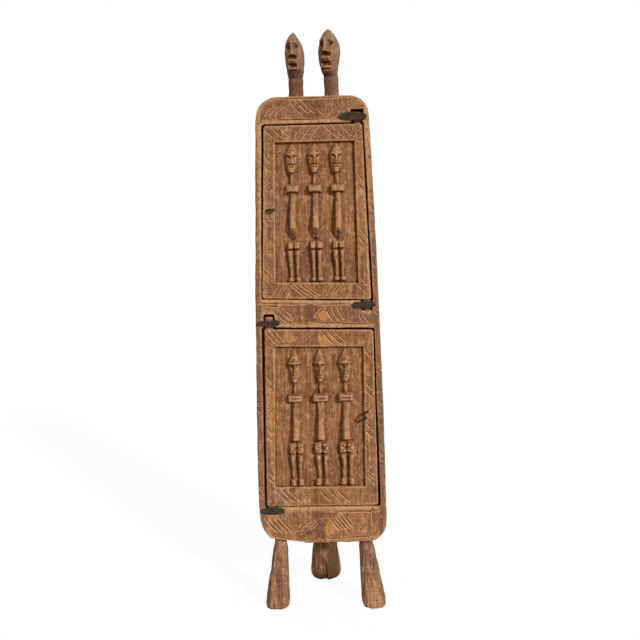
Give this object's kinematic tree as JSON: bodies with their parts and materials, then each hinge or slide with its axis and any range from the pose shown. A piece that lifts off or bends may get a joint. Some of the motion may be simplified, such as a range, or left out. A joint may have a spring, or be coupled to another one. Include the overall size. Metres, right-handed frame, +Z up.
{
  "type": "carved wooden box",
  "caption": "Tall narrow box hollowed from one log, on legs, with carved heads on top and relief doors on wooden pintles held by iron staples.",
  "frame": {"origin": "middle of the bounding box's footprint, on the floor under the feet", "axes": "+Z up along the box, the flat front with the doors faces -Y, +X to the right seen from the front"},
  "size_m": [0.221, 0.1742, 1.0205],
  "materials": {
    "carcass_wood": "hand-carved, dry, worn and darkened by age",
    "door_wood": "hand-carved, dry, worn to orange on the raised parts",
    "forged_iron": "hand-forged, dark, lightly rusted"
  },
  "bodies": {
    "box": {"carcass": "carcass_wood", "upper_door_top_staple": "forged_iron", "upper_door_bottom_staple": "forged_iron", "lower_door_top_staple": "forged_iron", "lower_door_bottom_staple": "forged_iron"},
    "upper_leaf": {"upper_door": "door_wood", "upper_door_pull": "forged_iron"},
    "lower_leaf": {"lower_door": "door_wood", "lower_door_pull": "forged_iron"}
  },
  "joints": [
    {"name": "upper_door_hinge", "type": "hinge", "parent": "box", "child": "upper_leaf", "pos_m": [0.0854, -0.0618, 0.53108], "axis": [-0.0263, 0, 0.9997], "range_deg": [0, 95.8]},
    {"name": "lower_door_hinge", "type": "hinge", "parent": "box", "child": "lower_leaf", "pos_m": [-0.0889, -0.0618, 0.17868], "axis": [-0.0147, 0, -0.9999], "range_deg": [0, 95.8]}
  ]
}
